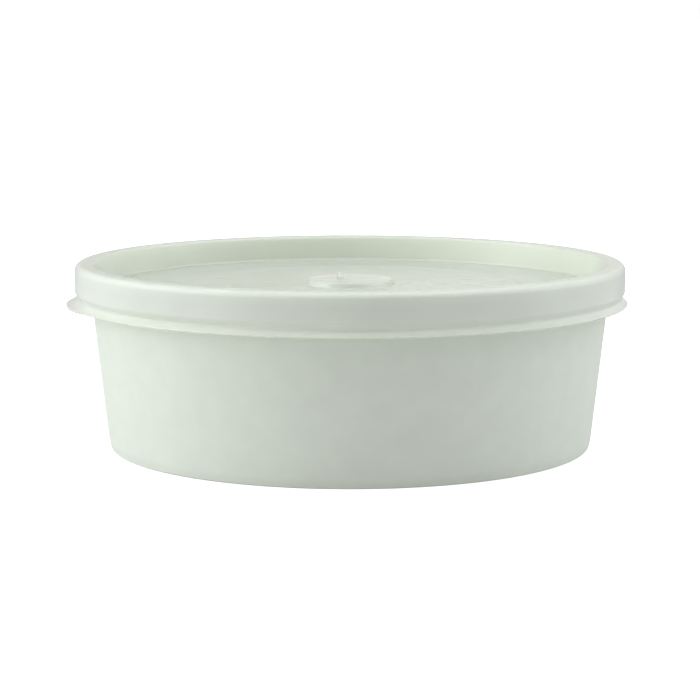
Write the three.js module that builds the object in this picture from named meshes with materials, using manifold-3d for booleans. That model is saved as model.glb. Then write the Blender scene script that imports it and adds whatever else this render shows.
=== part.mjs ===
// A round paper salad bowl closed by its press-on plastic lid, standing on a flat surface.
// Millimetres, +Z up. The origin lies on the bowl's axis in the plane it stands on, and the lid's
// pull tab points along -X.

import * as THREE from "three";
import { mergeVertices } from "three/addons/utils/BufferGeometryUtils.js";
import Module from "manifold-3d";

// ---- driving dimensions ----

const FACETS = 60; // round each turned piece
const CLEARANCE = 0.3; // between pieces that touch

const TOTAL_HEIGHT = 63.5; // from the standing plane to the top of the lid

// Paper bowl: one tapered side wall, rolled over at the top and hemmed round the base at the foot.
const BOARD = 0.5; // thickness of the coated paperboard
const FOOT_RADIUS = 83.1; // outside of the wall, drawn on down to the standing plane
const WALL_TAPER = THREE.MathUtils.degToRad(6.3); // from upright, wider at the top
const CURL_RADIUS = 1.85; // outside of the rolled rim
const CURL_END_ANGLE = THREE.MathUtils.degToRad(-120); // where the roll stops, short of the wall
const TUCK_HEIGHT = 3; // below this the wall turns in a little
const TUCK_DEPTH = 0.35;
const HEM_CORNER = 0.6; // outer radius of the two corners of the folded foot
const HEM_HEIGHT = 5.2; // top of the folded edge inside the foot
const BASE_CORNER = 0.7; // bend of the base sheet into its flange, on its middle line

// Lid: one thin shell with a land over the rolled rim, a sunk panel and a skirt with a flared lip.
const LID_SHEET = 0.6;
const SKIRT_RADIUS = 94.4; // outside of the skirt
const SHOULDER_RADIUS = 2.3; // outside rounding from the land into the skirt
const LAND_INNER_RADIUS = 87.9; // where the land turns down into the recess
const RECESS_DEPTH = 8.7; // land down to the outer ring of the panel
const RECESS_TAPER = 0.8; // how much narrower the recess is at its foot
const RECESS_CORNER = 1.3; // bend on the middle line at the foot of the recess wall
const LAND_CORNER = 0.8; // bend on the middle line from the recess wall into the land
const STEP_RADIUS = 58; // ring where the middle of the panel stands higher
const STEP_HEIGHT = 0.6;
const BOSS_RADIUS = 14.4; // round plateau in the middle
const BOSS_HEIGHT = 1.8;
const SLOPE_RUN = 0.9; // width of the slopes round the step and the boss
const SKIRT_DEPTH = 9.6; // land down to where the skirt starts to turn in
const CREASE_RADIUS = 92.9; // outside of the crease that snaps under the rolled rim
const CREASE_DEPTH = 11.7;
const LIP_RADIUS = 95.5; // tip of the flared lip
const LIP_DEPTH = 14.2; // land down to the lower edge of the lip
const TAB_REACH = 2.5; // how far the pull tab stands out past the lip
const TAB_FLAT = THREE.MathUtils.degToRad(5); // half the width of the tab's even stretch
const TAB_END = THREE.MathUtils.degToRad(19); // where the tab has faded into the lip
const NUB_OFFSET = -3.4; // moulding nub on the plateau, measured along X
const NUB_RADIUS = 1.1; // at its foot
const NUB_HEIGHT = 2.3;
const NUB_FACETS = 12;

// ---- outlines in the (radius, height) plane ----

const at = (radius, height) => new THREE.Vector2(radius, height);

// Points on an arc, both ends included, with the angles in radians.
function arc(centre, radius, from, to, steps) {
  return Array.from({ length: steps + 1 }, (_, i) => {
    const angle = from + ((to - from) * i) / steps;
    return at(centre.x + radius * Math.cos(angle), centre.y + radius * Math.sin(angle));
  });
}

// The outline of an even sheet, from its middle line: out along the right face, back along the left.
// A middle line that starts on the axis gives an outline that starts and ends there, and any
// other one gives an outline closed on itself.
function sheetOutline(middle, thickness) {
  const rightNormal = (from, to) => {
    const along = to.clone().sub(from).normalize();
    return at(along.y, -along.x);
  };
  const offsets = middle.map((point, i) => {
    const before = i > 0 ? rightNormal(middle[i - 1], point) : rightNormal(point, middle[1]);
    const after = i < middle.length - 1 ? rightNormal(point, middle[i + 1]) : before;
    const mitre = before.clone().add(after).normalize();
    return mitre.multiplyScalar(thickness / 2 / mitre.dot(before));
  });
  const right = middle.map((point, i) => point.clone().add(offsets[i]));
  const left = middle.map((point, i) => point.clone().sub(offsets[i])).reverse();
  const onAxis = middle[0].x === 0;
  return onAxis ? [...right, ...left] : [...right, ...left, right[0].clone()];
}

// ---- solids ----

// A closed triangle mesh of an outline turned about +Z, with shared vertices and no empty triangles.
function turned(outline) {
  const lathe = new THREE.LatheGeometry(outline, FACETS).rotateX(Math.PI / 2);
  return welded(lathe);
}

function welded(geometry) {
  geometry.deleteAttribute("normal");
  geometry.deleteAttribute("uv");
  const merged = mergeVertices(geometry);
  const corners = merged.index.array;
  const kept = [];
  for (let i = 0; i < corners.length; i += 3) {
    const [a, b, c] = corners.slice(i, i + 3);
    if (a !== b && b !== c && c !== a) kept.push(a, b, c);
  }
  merged.setIndex(kept);
  return merged;
}

const manifold = await Module();
manifold.setup();

function joined(first, second) {
  const solid = (geometry) =>
    new manifold.Manifold(
      new manifold.Mesh({
        numProp: 3,
        vertProperties: new Float32Array(geometry.attributes.position.array),
        triVerts: new Uint32Array(geometry.index.array),
      }),
    );
  const mesh = solid(first).add(solid(second)).getMesh();
  const geometry = new THREE.BufferGeometry();
  geometry.setAttribute("position", new THREE.BufferAttribute(mesh.vertProperties, 3));
  geometry.setIndex(new THREE.BufferAttribute(mesh.triVerts, 1));
  return geometry;
}

function piece(name, geometry, material) {
  geometry.computeVertexNormals();
  const mesh = new THREE.Mesh(geometry, material);
  mesh.name = name;
  return mesh;
}

// ---- the paper bowl ----

// Radius of the middle of the side wall's board at a height.
const wallMiddle = (height) =>
  FOOT_RADIUS + height * Math.tan(WALL_TAPER) - BOARD / 2 / Math.cos(WALL_TAPER);

// The board's fold leaves room for the flange of the base with a clearance on each face of it.
const FOLD_SPACING = 2 * (BOARD + CLEARANCE);

function curlMiddle() {
  const radius = CURL_RADIUS - BOARD / 2;
  const centreHeight = TOTAL_HEIGHT - LID_SHEET - CLEARANCE - CURL_RADIUS;
  const start = Math.PI - WALL_TAPER; // here the roll leaves the wall without a kink
  const startHeight = centreHeight + radius * Math.sin(start);
  const centre = at(wallMiddle(startHeight) - radius * Math.cos(start), centreHeight);
  return arc(centre, radius, start, CURL_END_ANGLE, 10);
}

function hemMiddle() {
  const corner = HEM_CORNER - BOARD / 2;
  const outerRadius = wallMiddle(0) - TUCK_DEPTH;
  const innerRadius = outerRadius - FOLD_SPACING;
  return [
    at(wallMiddle(HEM_HEIGHT) - FOLD_SPACING, HEM_HEIGHT),
    at(wallMiddle(TUCK_HEIGHT) - FOLD_SPACING, TUCK_HEIGHT),
    ...arc(at(innerRadius + corner, HEM_CORNER), corner, Math.PI, 1.5 * Math.PI, 2),
    ...arc(at(outerRadius - corner, HEM_CORNER), corner, 1.5 * Math.PI, 2 * Math.PI, 2),
    at(wallMiddle(TUCK_HEIGHT), TUCK_HEIGHT),
  ];
}

function bowlWall(paper) {
  const middle = [...hemMiddle(), at(wallMiddle(TOTAL_HEIGHT / 2), TOTAL_HEIGHT / 2), ...curlMiddle()];
  return piece("bowl_wall", turned(sheetOutline(middle, BOARD)), paper);
}

// The base sheet sits above the hem and its flange hangs down in the fold.
function bowlBase(paper) {
  const sheetHeight = HEM_HEIGHT + CLEARANCE + BOARD / 2;
  const flangeRadius = (height) => wallMiddle(height) - FOLD_SPACING / 2;
  const bend = at(flangeRadius(sheetHeight - BASE_CORNER) - BASE_CORNER, sheetHeight - BASE_CORNER);
  const middle = [
    at(0, sheetHeight),
    ...arc(bend, BASE_CORNER, Math.PI / 2, 0, 2),
    at(flangeRadius(TUCK_HEIGHT), TUCK_HEIGHT),
    at(wallMiddle(0) - TUCK_DEPTH - FOLD_SPACING / 2, HEM_CORNER + CLEARANCE),
  ];
  return piece("bowl_base", turned(sheetOutline(middle, BOARD)), paper);
}

// ---- the lid ----

// Panel, from the axis out to the foot of the recess wall.
function panelMiddle() {
  const low = TOTAL_HEIGHT - RECESS_DEPTH - LID_SHEET / 2;
  const raised = low + STEP_HEIGHT;
  const foot = LAND_INNER_RADIUS - RECESS_TAPER + LID_SHEET / 2 - RECESS_CORNER;
  return [
    at(0, raised + BOSS_HEIGHT),
    at(BOSS_RADIUS, raised + BOSS_HEIGHT),
    at(BOSS_RADIUS + SLOPE_RUN, raised),
    at(STEP_RADIUS, raised),
    at(STEP_RADIUS + SLOPE_RUN, low),
    ...arc(at(foot, low + RECESS_CORNER), RECESS_CORNER, 1.5 * Math.PI, 2 * Math.PI, 3),
  ];
}

// Land over the rolled rim, from the recess wall to the skirt.
function landMiddle() {
  const height = TOTAL_HEIGHT - LID_SHEET / 2;
  const inner = LAND_INNER_RADIUS + LID_SHEET / 2 + LAND_CORNER;
  const shoulder = SHOULDER_RADIUS - LID_SHEET / 2;
  const outer = SKIRT_RADIUS - SHOULDER_RADIUS;
  return [
    ...arc(at(inner, height - LAND_CORNER), LAND_CORNER, Math.PI, Math.PI / 2, 2),
    ...arc(at(outer, height - shoulder), shoulder, Math.PI / 2, 0, 4),
  ];
}

// Skirt, crease and flared lip.
function skirtMiddle() {
  const half = LID_SHEET / 2;
  const turnIn = TOTAL_HEIGHT - SKIRT_DEPTH;
  const crease = TOTAL_HEIGHT - CREASE_DEPTH;
  return [
    at(SKIRT_RADIUS - half, turnIn),
    at((SKIRT_RADIUS + CREASE_RADIUS) / 2 - half, (turnIn + crease) / 2),
    at(CREASE_RADIUS - half, crease),
    at((CREASE_RADIUS + LIP_RADIUS) / 2 - half, crease - (LIP_DEPTH - CREASE_DEPTH) / 2),
    at(LIP_RADIUS - half, TOTAL_HEIGHT - LIP_DEPTH + half),
  ];
}

// Draws the lip out into the pull tab on the -X side.
function drawTab(geometry) {
  const position = geometry.attributes.position;
  const creaseHeight = TOTAL_HEIGHT - CREASE_DEPTH;
  for (let i = 0; i < position.count; i += 1) {
    const [x, y, z] = [position.getX(i), position.getY(i), position.getZ(i)];
    const radius = Math.hypot(x, y);
    const onLip = z < creaseHeight && radius > CREASE_RADIUS - LID_SHEET;
    if (!onLip) continue;
    const fade = 1 - THREE.MathUtils.smoothstep(Math.abs(Math.atan2(y, -x)), TAB_FLAT, TAB_END);
    const share = THREE.MathUtils.clamp((creaseHeight - z) / (LIP_DEPTH - CREASE_DEPTH), 0, 1);
    const grown = (radius + TAB_REACH * fade * share) / radius;
    position.setXY(i, x * grown, y * grown);
  }
  return geometry;
}

// Stub left by moulding, sunk into the plateau so that the two are one solid.
function nub() {
  const sunk = LID_SHEET / 2;
  const plateau = TOTAL_HEIGHT - RECESS_DEPTH + STEP_HEIGHT + BOSS_HEIGHT;
  const height = NUB_HEIGHT + sunk;
  return new THREE.CylinderGeometry(NUB_RADIUS * 0.7, NUB_RADIUS, height, NUB_FACETS)
    .rotateX(Math.PI / 2)
    .translate(NUB_OFFSET, 0, plateau - sunk + height / 2);
}

function lid(plastic) {
  const middle = [...panelMiddle(), ...landMiddle(), ...skirtMiddle()];
  const shell = drawTab(turned(sheetOutline(middle, LID_SHEET)));
  return piece("lid", joined(shell, welded(nub())), plastic);
}

// ---- the whole ----

const paper = new THREE.MeshStandardMaterial({ color: 0xe9ece6, roughness: 0.6, metalness: 0 });
const plastic = new THREE.MeshStandardMaterial({
  color: 0xe2e7df,
  roughness: 0.35,
  metalness: 0,
  transparent: true,
  opacity: 0.6,
});

const saladBowl = new THREE.Group();
saladBowl.add(bowlWall(paper), bowlBase(paper), lid(plastic));

export default saladBowl;
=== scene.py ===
# %% [markdown]
# # A paper salad bowl under a frosted lid
#
# The object is a round takeaway bowl of white coated board. A thin lid of natural polypropylene is
# pressed over its rolled rim. Nothing is printed on either of them, so everything the eye gets comes
# from thin sheets, the soft bends between them, and how much light each sheet lets through.
#
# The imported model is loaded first. It holds the real sizes, and every piece below is made in the same
# frame: metres, +Z up, the origin on the bowl's axis where it stands, the pull tab towards -X.

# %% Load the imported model
import math

import bmesh
import bpy
from mathutils import Matrix, Vector


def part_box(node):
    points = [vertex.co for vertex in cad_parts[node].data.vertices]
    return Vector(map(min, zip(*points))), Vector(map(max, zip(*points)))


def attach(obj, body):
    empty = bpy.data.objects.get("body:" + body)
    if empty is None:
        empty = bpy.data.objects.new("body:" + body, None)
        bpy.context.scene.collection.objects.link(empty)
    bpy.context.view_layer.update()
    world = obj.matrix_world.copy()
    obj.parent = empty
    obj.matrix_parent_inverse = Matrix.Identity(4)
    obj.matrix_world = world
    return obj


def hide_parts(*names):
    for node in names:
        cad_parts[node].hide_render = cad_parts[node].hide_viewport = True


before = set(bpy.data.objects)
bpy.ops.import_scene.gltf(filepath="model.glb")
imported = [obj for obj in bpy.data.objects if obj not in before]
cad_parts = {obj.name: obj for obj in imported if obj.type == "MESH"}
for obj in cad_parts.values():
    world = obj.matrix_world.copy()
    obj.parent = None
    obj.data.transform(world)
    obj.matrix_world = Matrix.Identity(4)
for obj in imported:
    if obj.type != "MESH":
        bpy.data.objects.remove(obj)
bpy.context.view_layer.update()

MM = 0.001
print("nodes:", sorted(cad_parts))

# %% [markdown]
# ## Sizes
#
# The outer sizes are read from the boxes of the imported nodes, so the fine meshes keep to them: how high
# the rim stands, how wide the roll is, how far the lip and the tab reach. What a box can't tell, such
# as the thickness of a sheet or the radius of a bend, is a named value in millimetres.

# %% Sizes of the bowl and the lid
def box_mm(node):
    """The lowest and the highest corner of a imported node, in millimetres."""
    return [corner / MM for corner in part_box(node)]


BOARD = 0.5            # thickness of the coated board
HEM_GAP = 0.3          # between the layers folded together at the foot
WALL_TAPER = math.radians(6.3)           # how far the wall leans out from upright
ROLL_RADIUS = 1.85     # outside of the rolled rim
ROLL_TURN = math.radians(293.7)          # how far the edge curls over
TUCK_HEIGHT, TUCK_DEPTH = 3.0, 0.35      # the foot draws in below that height, by that much
TUCK_BEND = 10.0       # radius of the bend where it starts to draw in
HEM_CORNER = 0.9       # radius of the two bends of the fold
FLANGE_BEND = 0.95     # radius of the bend from the base into its flange
LID_SHEET = 0.6        # thickness of the lid
BOARD_EDGE, LID_EDGE = 0.08, 0.12        # rounding of the cut edges

wall_high = box_mm("bowl_wall")[1]
base_low, base_high = box_mm("bowl_base")
lid_low, lid_high = box_mm("lid")

RIM_TOP, LID_TOP = wall_high.z, lid_high.z
LIP_RADIUS, TAB_REACH = lid_high.x, -lid_low.x - lid_high.x
print(f"rim {RIM_TOP:.2f} mm high, lip {LIP_RADIUS:.2f} mm from the axis, tab {TAB_REACH:.2f} mm more")

# %% [markdown]
# ## One way to make every sheet
#
# All three pieces are sheets of even thickness that run round one axis. A modeller could start from a
# cylinder and cut loops into it, but the way of the real tooling is simpler to steer: draw one face of
# the sheet as a few corner points in the XZ plane, round each corner with a vertex bevel, spin the
# chain into a surface, and give that surface its thickness with solidify. The cut edges of the sheet
# are bevelled last, because a cut edge of board or plastic is never perfectly sharp.

# %% Draw and round a chain of points
def chain(*points):
    """A bmesh with one chain of vertices through (radius, height) points in millimetres."""
    mesh = bmesh.new()
    corners = [mesh.verts.new((radius * MM, 0, height * MM)) for radius, height in points]
    for start, end in zip(corners, corners[1:]):
        mesh.edges.new((start, end))
    return mesh, corners


def round_corner(mesh, corner, radius, segments):
    """Rounds one corner of a chain to an arc of that radius in millimetres."""
    arms = [(edge.other_vert(corner).co - corner.co).normalized() for edge in corner.link_edges]
    turn = math.pi - arms[0].angle(arms[1])
    bmesh.ops.bevel(mesh, geom=[corner], offset=radius * MM * math.tan(turn / 2),
                    offset_type="OFFSET", segments=segments, profile=0.5, affect="VERTICES",
                    material=-1)

# %% Spin a chain and give it thickness
TURN_STEPS = 240       # facets round the axis, 1.5 degrees each
CUT_EDGE = math.radians(70)              # an edge that turns by more than this is a cut edge


def spun(mesh):
    """Spins the chain once round the axis and closes the seam."""
    bmesh.ops.spin(mesh, geom=mesh.verts[:] + mesh.edges[:], cent=(0, 0, 0), axis=(0, 0, 1),
                   angle=2 * math.pi, steps=TURN_STEPS, use_merge=True)
    bmesh.ops.remove_doubles(mesh, verts=mesh.verts, dist=0.001 * MM)
    bmesh.ops.recalc_face_normals(mesh, faces=mesh.faces)


def face_near(mesh, radius, height):
    """The face on the +X side whose middle is nearest to a radius and a height in millimetres."""
    place = Vector((radius, 0, height)) * MM
    return min(mesh.faces, key=lambda face: (face.calc_center_median() - place).length)


def thicken(mesh, thickness, drawn_face, looks_to, edge_radius):
    """Puts the thickness behind the drawn side and rounds the sheet's cut edges.

    drawn_face is any face of the drawn side, and looks_to the direction that it has to face.
    """
    if drawn_face.normal.dot(Vector(looks_to)) < 0:
        bmesh.ops.reverse_faces(mesh, faces=mesh.faces)
    bmesh.ops.solidify(mesh, geom=mesh.faces[:], thickness=thickness * MM)
    mesh.normal_update()
    cut_edges = [edge for edge in mesh.edges if edge.calc_face_angle(0) > CUT_EDGE]
    bmesh.ops.bevel(mesh, geom=cut_edges, offset=edge_radius * MM, offset_type="OFFSET", segments=2,
                    profile=0.5, affect="EDGES", material=-1)


print(f"{TURN_STEPS} facets, {2 * math.pi * LIP_RADIUS / TURN_STEPS:.1f} mm each at the lip")

# %% Hand a finished mesh over to the scene
def piece_from(mesh, name, node):
    """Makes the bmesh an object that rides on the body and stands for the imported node."""
    mesh.normal_update()
    for face in mesh.faces:
        face.smooth = True
    open_edges = sum(not edge.is_manifold for edge in mesh.edges)
    volume = mesh.calc_volume(signed=True) / MM**3 / 1000
    data = bpy.data.meshes.new(name)
    mesh.to_mesh(data)
    mesh.free()
    piece = bpy.data.objects.new(name, data)
    bpy.context.scene.collection.objects.link(piece)
    # Large flats keep their own shading next to the small bends.
    piece.modifiers.new("even shading", "WEIGHTED_NORMAL")
    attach(piece, "root")
    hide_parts(node)
    print(f"{name}: {len(data.polygons)} faces, {open_edges} open edges, {volume:.1f} cm3")
    return piece

# %% [markdown]
# ## The side wall
#
# One blank of board is wrapped into a cone. Its upper edge is rolled outwards into a stiff rim, and its
# lower edge is folded in and up round the base. The roll could be a ring laid on top, but then the
# board would have no free edge and the roll no hollow. So the top point of the chain is itself spun
# round the centre of the roll: the sheet really curls over and stops short of the wall, as it does on
# the forming machine. The fold at the foot is two small bends with a flat between them, which is the
# ring that the bowl stands on.

# %% Side wall with its rolled rim and folded foot
roll_centre = Vector((wall_high.x - ROLL_RADIUS, 0, RIM_TOP - ROLL_RADIUS))
roll_start = roll_centre + (ROLL_RADIUS - BOARD) * Vector(
    (-math.cos(WALL_TAPER), 0, math.sin(WALL_TAPER)))


def wall_face(height):
    """Radius of the outside of the wall at a height, in millimetres."""
    return roll_start.x - (roll_start.z - height) * math.tan(WALL_TAPER)


fold_depth = BOARD + 2 * (BOARD + HEM_GAP)     # outside of the wall to the inside of the fold
hem_top = base_high.z - BOARD - HEM_GAP
foot_radius = wall_face(0) - TUCK_DEPTH
middle_height = RIM_TOP / 2
wall_mesh, wall_points = chain(
    (wall_face(hem_top) - fold_depth, hem_top),
    (wall_face(TUCK_HEIGHT) - fold_depth, TUCK_HEIGHT),
    (foot_radius - fold_depth, 0),
    (foot_radius, 0),
    (wall_face(TUCK_HEIGHT), TUCK_HEIGHT),
    (wall_face(middle_height), middle_height),
    (roll_start.x, roll_start.z),
)
bmesh.ops.spin(wall_mesh, geom=[wall_points[-1]], cent=roll_centre * MM, axis=(0, 1, 0),
               angle=ROLL_TURN, steps=24)
for corner, radius in ((2, HEM_CORNER), (3, HEM_CORNER), (4, TUCK_BEND)):
    round_corner(wall_mesh, wall_points[corner], radius, segments=5)
spun(wall_mesh)
thicken(wall_mesh, BOARD, face_near(wall_mesh, wall_face(middle_height), middle_height),
        looks_to=(1, 0, 0), edge_radius=BOARD_EDGE)
side_wall = piece_from(wall_mesh, "side_wall", "bowl_wall")

# %% [markdown]
# ## The base
#
# The base is a disc of the same board. Its edge is bent down into a flange that is glued between the
# wall and the fold, so from below it is the sunk floor of the foot. It gets the same treatment as the
# wall: the upper face is drawn, with a single bend in it.

# %% Base sheet with its flange
def flange_face(height):
    """Radius of the outside of the flange at a height, in millimetres."""
    return wall_face(height) - BOARD - HEM_GAP


base_mesh, base_points = chain(
    (0, base_high.z),
    (flange_face(base_high.z), base_high.z),
    (flange_face(TUCK_HEIGHT), TUCK_HEIGHT),
    (flange_face(0) - TUCK_DEPTH, base_low.z),
)
round_corner(base_mesh, base_points[1], FLANGE_BEND, segments=5)
spun(base_mesh)
thicken(base_mesh, BOARD, face_near(base_mesh, 0, base_high.z), looks_to=(0, 0, 1),
        edge_radius=BOARD_EDGE)
base_sheet = piece_from(base_mesh, "base_sheet", "bowl_base")

# %% [markdown]
# ## The lid
#
# The lid is one thin moulding: a round boss in the middle, a large panel with a low step, the wall of
# the recess, the land over the rim, a round shoulder, the skirt, the crease that holds under the rolled
# rim, and a flared lip. All of it is one chain of corners, each with the radius that the mould has
# there. Many short arcs cost little and matter a lot: light on a frosted sheet shows in its bends.

# %% Lid surface from the boss out to the lip
NUB_RADIUS = 1.1                         # the hole left for the nub in the middle
BOSS_TOP, BOSS_FOOT = 14.585, 15.485     # radii where a slope begins and ends
STEP_TOP, STEP_FOOT = 58.09, 58.99
RECESS_FOOT, RECESS_TOP = 87.0, 88.0
SKIRT_RADIUS, CREASE_RADIUS = 94.4, 92.995
RECESS_DEPTH, SKIRT_DEPTH, CREASE_DEPTH, LIP_DEPTH = 8.7, 9.7, 11.66, 13.66      # below the top
STEP_HEIGHT, BOSS_HEIGHT = 0.6, 1.8

panel = LID_TOP - RECESS_DEPTH
raised = panel + STEP_HEIGHT
plateau = raised + BOSS_HEIGHT
crease = Vector((CREASE_RADIUS, 0, LID_TOP - CREASE_DEPTH))
lip_edge = Vector((LIP_RADIUS, 0, LID_TOP - LIP_DEPTH))
lid_mesh, lid_points = chain(
    (NUB_RADIUS, plateau),
    (BOSS_TOP, plateau),
    (BOSS_FOOT, raised),
    (STEP_TOP, raised),
    (STEP_FOOT, panel),
    (RECESS_FOOT, panel),
    (RECESS_TOP, LID_TOP),
    (SKIRT_RADIUS, LID_TOP),
    (SKIRT_RADIUS, LID_TOP - SKIRT_DEPTH),
    (crease.x, crease.z),
    (lip_edge.x, lip_edge.z),
)
# The radius of each bend, by its place in the chain. The 7th is the shoulder, the 9th the crease.
bends = {1: 0.6, 2: 0.5, 3: 0.8, 4: 0.8, 5: 0.7, 6: 1.1, 7: 2.3, 8: 1.5, 9: 0.6}
for corner, radius in bends.items():
    round_corner(lid_mesh, lid_points[corner], radius, segments=6)
spun(lid_mesh)
print("lid surface:", len(lid_mesh.faces), "faces")

# %% [markdown]
# ## The pull tab
#
# The tab is no added part. It is the lip itself, drawn out on one side so that a finger finds it. The
# lip's rings are therefore pulled outwards here, fully within a few degrees of -X and fading out to
# both sides, and more the further they are below the crease. This happens while the lid is still one
# surface, so that the tab gets the same thickness as everything else.

# %% Draw the lip out into the tab
TAB_FLAT, TAB_END = math.radians(5), math.radians(19)


def smooth_fade(value, start, end):
    """1 before start, 0 after end, and a soft S between them."""
    share = min(max((value - start) / (end - start), 0), 1)
    return 1 - share * share * (3 - 2 * share)


drawn_out = 0
for vert in lid_mesh.verts:
    depth = (crease.z - vert.co.z / MM) / (crease.z - lip_edge.z)
    if depth > 0:
        fade = smooth_fade(abs(math.atan2(vert.co.y, -vert.co.x)), TAB_FLAT, TAB_END)
        outwards = vert.co.xy.normalized() * TAB_REACH * MM * depth * fade
        vert.co.xy += outwards
        drawn_out += fade > 0
print("drawn out:", drawn_out, "vertices")

# %% [markdown]
# ## The nub
#
# Molten plastic enters the mould near the middle of the lid and leaves a small stub there when it is
# broken off. The innermost ring of the surface is moved to where the stub stands and closed. Once the
# sheet has its thickness, the cap is extruded up, narrowed, and its edges are rounded, so that
# the stub and the lid are one solid.

# %% Close the middle and give the lid its thickness
NUB_OFFSET = -3.4                        # along X, towards the tab
SLACK = 0.1                              # so that the search finds the whole ring
inner_ring = [vert for vert in lid_mesh.verts if vert.co.xy.length < (NUB_RADIUS + SLACK) * MM]
bmesh.ops.translate(lid_mesh, verts=inner_ring, vec=(NUB_OFFSET * MM, 0, 0))
bmesh.ops.holes_fill(lid_mesh, edges=[edge for edge in lid_mesh.edges if edge.is_boundary and
                                      edge.verts[0] in inner_ring and edge.verts[1] in inner_ring])
bmesh.ops.recalc_face_normals(lid_mesh, faces=lid_mesh.faces)
thicken(lid_mesh, LID_SHEET, face_near(lid_mesh, (BOSS_FOOT + STEP_TOP) / 2, raised),
        looks_to=(0, 0, 1), edge_radius=LID_EDGE)
print("lid sheet:", len(lid_mesh.faces), "faces")

# %% Draw the nub up out of the cap
NUB_HEIGHT, NUB_EDGE = 2.3, 0.3
NUB_TAPER = 0.7                          # its top is that much of its foot
cap = max((face for face in lid_mesh.faces if len(face.verts) == TURN_STEPS),
          key=lambda face: face.calc_center_median().z)
top_face = bmesh.ops.extrude_discrete_faces(lid_mesh, faces=[cap])["faces"][0]
top_verts = top_face.verts[:]
bmesh.ops.translate(lid_mesh, verts=top_verts, vec=(0, 0, NUB_HEIGHT * MM))
nub_axis = Matrix.Translation((NUB_OFFSET * MM, 0, 0))
bmesh.ops.scale(lid_mesh, verts=top_verts, vec=(NUB_TAPER, NUB_TAPER, 1),
                space=nub_axis.inverted())
bmesh.ops.bevel(lid_mesh, geom=top_face.edges[:], offset=NUB_EDGE * MM, offset_type="OFFSET",
                segments=3, profile=0.5, affect="EDGES", material=-1)
frosted_lid = piece_from(lid_mesh, "frosted_lid", "lid")

# %% [markdown]
# ## Materials
#
# Three helpers serve every material. One turns a colour as it is read off a screen, an sRGB hex value,
# into the linear numbers that the shader counts in. The next adds a node with its settings and links,
# and the last starts an empty material. Nodes could be placed by hand in the editor, but a list of them
# in code is easier to compare, to change and to run again.

# %% Helpers for colours and nodes
def srgb(code):
    """An sRGB hex colour such as "E9ECE6" as linear red, green and blue, and an alpha of 1."""
    parts = [int(code[i:i + 2], 16) / 255 for i in (0, 2, 4)]
    linear = [part / 12.92 if part <= 0.04045 else ((part + 0.055) / 1.055) ** 2.4 for part in parts]
    return (*linear, 1.0)


def add_node(tree, kind, inputs=None, **settings):
    """Adds a node with its settings. Each input is a value or the socket that feeds it.

    An input is called by its name, or by its number where a node has several of one name.
    """
    node = tree.nodes.new(kind)
    for name, value in settings.items():
        setattr(node, name, value)
    for name, value in (inputs or {}).items():
        if isinstance(value, bpy.types.NodeSocket):
            tree.links.new(value, node.inputs[name])
        else:
            node.inputs[name].default_value = value
    return node


def new_material(name):
    """An empty node material, and the Object coordinates that its patterns are laid out in."""
    material = bpy.data.materials.new(name)
    material.use_nodes = True
    material.node_tree.nodes.clear()
    place = material.node_tree.nodes.new("ShaderNodeTexCoord").outputs["Object"]
    return material, material.node_tree, place


print("808080 on the screen is", round(srgb("808080")[0], 3), "of white in linear light")

# %% [markdown]
# ## Coated white board
#
# The bowl is bleached paperboard with a thin film of polyethylene on both sides. The film makes it
# satin rather than chalky, and the board under it still shows as a faint cloudiness, where the fibres
# lie thicker or thinner, and as a very low unevenness. An even white would look like plastic, so the
# colour follows a cloud of 8 mm, and two noises give the relief.

# %% Coated paperboard
board, tree, place = new_material("coated_bleached_paperboard")
CLOUD = 8.0            # formation: the clouds that show when board is held at an angle
clouds = add_node(tree, "ShaderNodeTexNoise",
                  {"Vector": place, "Scale": 1 / (CLOUD * MM), "Detail": 3.0, "Roughness": 0.55})
tone = add_node(tree, "ShaderNodeValToRGB", {"Fac": clouds.outputs["Fac"]})
for end, position, code in ((0, 0.3, "DCE3D6"), (1, 0.7, "E0E7DA")):
    tone.color_ramp.elements[end].position = position
    tone.color_ramp.elements[end].color = srgb(code)
FIBRE = 0.8            # a fibre is 0.03 mm thick, too fine to show, so a coarser grain is drawn
fibres = add_node(tree, "ShaderNodeTexNoise",
                  {"Vector": place, "Scale": 1 / (FIBRE * MM), "Detail": 2.0, "Roughness": 0.6})
grain = add_node(tree, "ShaderNodeBump",
                 {"Height": fibres.outputs["Fac"], "Strength": 0.12, "Distance": 0.05 * MM})
waves = add_node(tree, "ShaderNodeBump",
                 {"Height": clouds.outputs["Fac"], "Strength": 0.1, "Distance": 0.10 * MM,
                  "Normal": grain.outputs["Normal"]})
film = add_node(tree, "ShaderNodeBsdfPrincipled",
                {"Base Color": tone.outputs["Color"], "Normal": waves.outputs["Normal"],
                 "Roughness": 0.5, "IOR": 1.5})
add_node(tree, "ShaderNodeOutputMaterial", {"Surface": film.outputs["BSDF"]})
for piece in (side_wall, base_sheet):
    piece.data.materials.append(board)
print("board:", len(tree.nodes), "nodes")

# %% [markdown]
# ## Frosted polypropylene
#
# Polypropylene without dye is milky. Part of the light goes straight through, part is scattered back,
# and part is scattered on through the sheet. Glass with a rough surface would blur what is behind it,
# but would keep the light out of the closed bowl. So the three parts are made as three shaders:
# transparent, matt and translucent. The first two cells below make them, the next mixes them, and the
# last lays the gloss on top.

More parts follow.
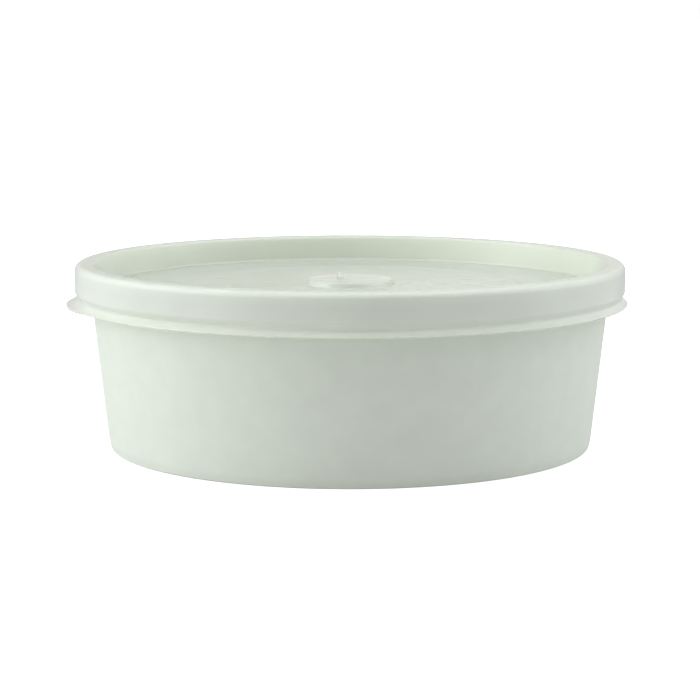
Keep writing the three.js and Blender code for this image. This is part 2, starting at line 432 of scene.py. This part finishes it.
# %% Moulded polypropylene: what scatters the light
plastic, tree, place = new_material("frosted_moulded_polypropylene")
PATCH = 20.0           # the sheet is a little thicker and thinner in soft patches
milk = add_node(tree, "ShaderNodeTexNoise",
                {"Vector": place, "Scale": 1 / (PATCH * MM), "Detail": 2.0, "Roughness": 0.5})
tone = add_node(tree, "ShaderNodeValToRGB", {"Fac": milk.outputs["Fac"]})
for end, position, code in ((0, 0.3, "F6FAF9"), (1, 0.7, "FAFEFD")):
    tone.color_ramp.elements[end].position = position
    tone.color_ramp.elements[end].color = srgb(code)
ETCHING = 0.5          # the etched mould has a grain of 0.1 mm, too fine to show, so it is drawn coarser
etching = add_node(tree, "ShaderNodeTexNoise",
                   {"Vector": place, "Scale": 1 / (ETCHING * MM), "Detail": 1.0, "Roughness": 0.5})
frost = add_node(tree, "ShaderNodeBump",
                 {"Height": etching.outputs["Fac"], "Strength": 0.03, "Distance": 0.04 * MM})
scattered_back = add_node(tree, "ShaderNodeBsdfPrincipled",
                          {"Base Color": tone.outputs["Color"], "Normal": frost.outputs["Normal"],
                           "Roughness": 0.6, "Specular IOR Level": 0.0})
scattered_on = add_node(tree, "ShaderNodeBsdfTranslucent",
                        {"Color": tone.outputs["Color"], "Normal": frost.outputs["Normal"]})
print("scattering:", len(tree.nodes), "nodes")

# %% Moulded polypropylene: the milky part and the clear part
GOES_ON = 0.2          # share of the scattered light that goes on through the sheet
milky = add_node(tree, "ShaderNodeMixShader",
                 {0: GOES_ON, 1: scattered_back.outputs["BSDF"], 2: scattered_on.outputs["BSDF"]})
# A hint of yellow, because the sheet takes a little blue from the light that goes straight through.
straight = add_node(tree, "ShaderNodeBsdfTransparent", {"Color": srgb("FFFFF6")})
print("clear part lets through:", [round(part, 3) for part in srgb("FFFFF6")[:3]])

# %% [markdown]
# ### How milky the sheet is
#
# The panel and the land over the rim are clearer than the skirt, and the lip is the clearest, as if the
# sheet ran thin towards its edge. One number could serve the whole lid, but then the board would either
# hide behind the panel or show right through the skirt. So the share of the milky part follows the
# distance from the axis and the height. A ray crosses both faces of the sheet, and meets the mix on
# each of them, so the lid looks milkier than the numbers alone say.

# %% Moulded polypropylene: milkier towards the skirt
CLEAR_TO, MILKY_FROM = 91.5, 94.2        # distance from the axis
ABOVE_CREASE = 0.3     # the lip's clearness ends that far above the crease
PANEL_MILK, SKIRT_MILK, LIP_SHARE = 0.42, 0.5, 0.65      # the lip's is a share of the skirt's
across = add_node(tree, "ShaderNodeVectorMath", {0: place, 1: (1, 1, 0)}, operation="MULTIPLY")
radius = add_node(tree, "ShaderNodeVectorMath", {0: across.outputs["Vector"]}, operation="LENGTH")
veil = add_node(tree, "ShaderNodeMapRange",
                {"Value": radius.outputs["Value"], "From Min": CLEAR_TO * MM,
                 "From Max": MILKY_FROM * MM, "To Min": PANEL_MILK, "To Max": SKIRT_MILK})
# The lip hardly shows in front of the wall, and lets light through on to it.
height = add_node(tree, "ShaderNodeSeparateXYZ", {0: place}).outputs["Z"]
thinning = add_node(tree, "ShaderNodeMapRange",
                    {"Value": height, "From Min": lip_edge.z * MM,
                     "From Max": (crease.z + ABOVE_CREASE) * MM, "To Min": LIP_SHARE, "To Max": 1.0})
milkiness = add_node(tree, "ShaderNodeMath",
                     {0: veil.outputs["Result"], 1: thinning.outputs["Result"]}, operation="MULTIPLY")
sheet = add_node(tree, "ShaderNodeMixShader",
                 {0: milkiness.outputs["Value"], 1: straight.outputs["BSDF"],
                  2: milky.outputs["Shader"]})
print(f"milky share: panel {PANEL_MILK}, skirt {SKIRT_MILK}, lip {SKIRT_MILK * LIP_SHARE:.2f}")

# %% [markdown]
# ### The gloss
#
# Plastic shines weakly where the eye looks straight at it and strongly where it looks along it. Layer
# Weight gives that angle, and its fifth power is the usual short cut for how a smooth surface behaves.
# A glossy shader is laid on by that much. The flat panel comes from a polished face of the mould, so it
# mirrors the room softly, and the sides are left duller.

# %% Moulded polypropylene: gloss
POLISHED_TO, DULL_FROM = 85.0, 89.0      # distance from the axis
PANEL_ROUGHNESS, SIDE_ROUGHNESS = 0.22, 0.45
# 4 % is what an IOR of 1.49 gives face-on. Edge-on it would be all of it, but the frosting takes some.
GLOSS_FACE_ON, GLOSS_EDGE_ON = 0.04, 0.8
polish = add_node(tree, "ShaderNodeMapRange",
                  {"Value": radius.outputs["Value"], "From Min": POLISHED_TO * MM,
                   "From Max": DULL_FROM * MM, "To Min": PANEL_ROUGHNESS, "To Max": SIDE_ROUGHNESS})
shine = add_node(tree, "ShaderNodeBsdfAnisotropic", {"Roughness": polish.outputs["Result"]})
facing = add_node(tree, "ShaderNodeLayerWeight", {"Blend": 0.5}).outputs["Facing"]
steep = add_node(tree, "ShaderNodeMath", {0: facing, 1: 5.0}, operation="POWER")
gloss = add_node(tree, "ShaderNodeMapRange",
                 {"Value": steep.outputs["Value"], "To Min": GLOSS_FACE_ON, "To Max": GLOSS_EDGE_ON})
surface = add_node(tree, "ShaderNodeMixShader",
                   {0: gloss.outputs["Result"], 1: sheet.outputs["Shader"], 2: shine.outputs["BSDF"]})
add_node(tree, "ShaderNodeOutputMaterial", {"Surface": surface.outputs["Shader"]})
frosted_lid.data.materials.append(plastic)
print("plastic:", len(tree.nodes), "nodes")

# %% [markdown]
# ## The floor
#
# The bowl stands on a white sweep that has no edge in the picture. The floor is one large plane that
# reflects light and also gives off some of its own, as a white table lit from below does. How much it
# gives off depends on who looks. Where the camera sees it directly it is white to the horizon. What it
# throws on the bowl is far weaker, or the foot would be the brightest place instead of the darkest.

# %% Floor
def seen_directly(tree):
    """1 where the camera looks straight at a surface, 0 for light and for what shows through the lid."""
    path = add_node(tree, "ShaderNodeLightPath")
    straight = add_node(tree, "ShaderNodeMath", {0: path.outputs["Transparent Depth"], 1: 0.5},
                        operation="LESS_THAN")
    return add_node(tree, "ShaderNodeMath", {0: path.outputs["Is Camera Ray"],
                    1: straight.outputs["Value"]}, operation="MULTIPLY").outputs["Value"]


FLOOR_HALF, FLOOR_DROP = 60.0, 0.0002    # metres: half its width, and how far it lies under the foot
LIGHT_ON_BOWL, SEEN_WHITE = 0.17, 1.0    # strength of its own light
floor_mesh = bmesh.new()
bmesh.ops.create_grid(floor_mesh, x_segments=1, y_segments=1, size=FLOOR_HALF)
floor_data = bpy.data.meshes.new("floor")
floor_mesh.to_mesh(floor_data)
floor_mesh.free()
floor = bpy.data.objects.new("floor", floor_data)
floor.location.z = -FLOOR_DROP
bpy.context.scene.collection.objects.link(floor)
white_table, tree, _ = new_material("white_table")
own_light = add_node(tree, "ShaderNodeMapRange",
                     {"Value": seen_directly(tree), "To Min": LIGHT_ON_BOWL, "To Max": SEEN_WHITE})
paint = add_node(tree, "ShaderNodeBsdfPrincipled",
                 {"Base Color": srgb("B4B4B4"), "Roughness": 1.0, "Emission Color": srgb("FFFFFF"),
                  "Emission Strength": own_light.outputs["Result"]})
add_node(tree, "ShaderNodeOutputMaterial", {"Surface": paint.outputs["BSDF"]})
floor.data.materials.append(white_table)
print("floor:", 2 * FLOOR_HALF, "m wide")

# %% [markdown]
# ## The camera
#
# The view is level with a seated eye: 0.8 m in front of the bowl, 15 cm above the table, tilted down
# 8 degrees, with a long lens that keeps the rim's ellipse flat. The pull tab points a little towards
# the camera on the left, so the camera stands 10 degrees round to that side.

# %% Camera
CAMERA_TURN = math.radians(-10)
CAMERA_TILT = math.radians(8.25)
CAMERA_AWAY, CAMERA_HEIGHT = 0.7968, 0.1478              # metres
camera_data = bpy.data.cameras.new("camera")
camera_data.lens = 119.42                # millimetres, and so is the sensor
camera_data.sensor_width = 36.0
camera_data.clip_end = 200.0             # beyond the far end of the floor
camera = bpy.data.objects.new("camera", camera_data)
camera.location = (CAMERA_AWAY * math.sin(CAMERA_TURN), -CAMERA_AWAY * math.cos(CAMERA_TURN),
                   CAMERA_HEIGHT)
camera.rotation_euler = (math.pi / 2 - CAMERA_TILT, 0, CAMERA_TURN)
bpy.context.scene.collection.objects.link(camera)
bpy.context.scene.camera = camera
print(f"camera: {CAMERA_AWAY:.2f} m away, {CAMERA_HEIGHT:.2f} m high, {camera_data.lens:.0f} mm lens")

# %% [markdown]
# ## The light
#
# One lamp would draw hard lines on a frosted lid, so the light comes from many sides. Soft boxes stand
# in two rows round the bowl, with one low behind it and one overhead, all equally far away. Their powers
# make the picture: strong on the left, weaker on the right, a little from above and behind, and none
# from the camera, so that the front of the wall is its darkest place. The boxes themselves don't show.

# %% Soft boxes
BOX_AWAY, BOX_SIDE, TOP_BOX_SIDE = 1.4, 1.1, 1.5         # metres
LOOK_AT = Vector((0, 0, 0.03))           # half way up the bowl
COOL, WARM = "F8F9FF", "FFFEFB"


def soft_box(turn, rise, power, colour, side=BOX_SIDE):
    """A square area light that looks at the bowl, from turn degrees to the camera's right."""
    angle, rise = CAMERA_TURN - math.pi / 2 + math.radians(turn), math.radians(rise)
    data = bpy.data.lights.new("soft box", "AREA")
    data.size, data.energy, data.color = side, power, srgb(colour)[:3]
    light = bpy.data.objects.new("soft box", data)
    away = Vector((math.cos(angle) * math.cos(rise), math.sin(angle) * math.cos(rise), math.sin(rise)))
    light.location = LOOK_AT + BOX_AWAY * away
    light.rotation_euler = away.to_track_quat("Z", "Y").to_euler()
    light.visible_camera = False
    bpy.context.scene.collection.objects.link(light)
    return power


# How far each box is turned to the right, how high it stands, both in degrees, its watts and its tint.
watts = [soft_box(*box) for box in (
    (-95, 18, 3.4, COOL), (-95, 48, 11.0, COOL), (-70, 18, 7.2, COOL), (-45, 18, 3.3, WARM),
    (45, 18, 1.3, COOL), (70, 18, 1.3, COOL), (70, 48, 4.6, COOL), (95, 18, 5.0, COOL),
    (95, 48, 3.1, COOL), (125, 48, 4.2, COOL), (160, 10, 0.8, COOL))]
watts.append(soft_box(0, 90, 5.4, WARM, side=TOP_BOX_SIDE))
print(f"soft boxes: {len(watts)}, {sum(watts):.1f} W together")

# %% [markdown]
# ## The room
#
# The room is dim except behind the bowl, where a bright backdrop stands. The polished panel of the lid
# is seen almost edge-on, so it mirrors that backdrop. The camera itself sees plain white there.

# %% The room around the bowl
world = bpy.data.worlds.new("studio")
world.use_nodes = True
world.node_tree.nodes.clear()
room = world.node_tree
towards = add_node(room, "ShaderNodeTexCoord").outputs["Generated"]
behind = Vector((-math.sin(CAMERA_TURN), math.cos(CAMERA_TURN), 0))
facing = add_node(room, "ShaderNodeVectorMath", {0: towards, 1: behind}, operation="DOT_PRODUCT")
BACKDROP_EDGE = 0.75                     # cosine of 41 degrees, where it has faded out
DIM, BRIGHT = 0.05, 0.75
glow = add_node(room, "ShaderNodeMapRange",
                {"Value": facing.outputs["Value"], "From Min": BACKDROP_EDGE, "To Min": DIM,
                 "To Max": BRIGHT}, interpolation_type="SMOOTHSTEP")
lit = add_node(room, "ShaderNodeBackground",
               {"Color": srgb("FFFFF0"), "Strength": glow.outputs["Result"]})
white = add_node(room, "ShaderNodeBackground", {"Color": srgb("FFFFFF"), "Strength": 1.0})
both = add_node(room, "ShaderNodeMixShader", {0: seen_directly(room), 1: lit.outputs["Background"],
                                              2: white.outputs["Background"]})
add_node(room, "ShaderNodeOutputWorld", {"Surface": both.outputs["Shader"]})
bpy.context.scene.world = world
bpy.context.scene.view_settings.view_transform = "Standard"
print("room:", len(room.nodes), "nodes")
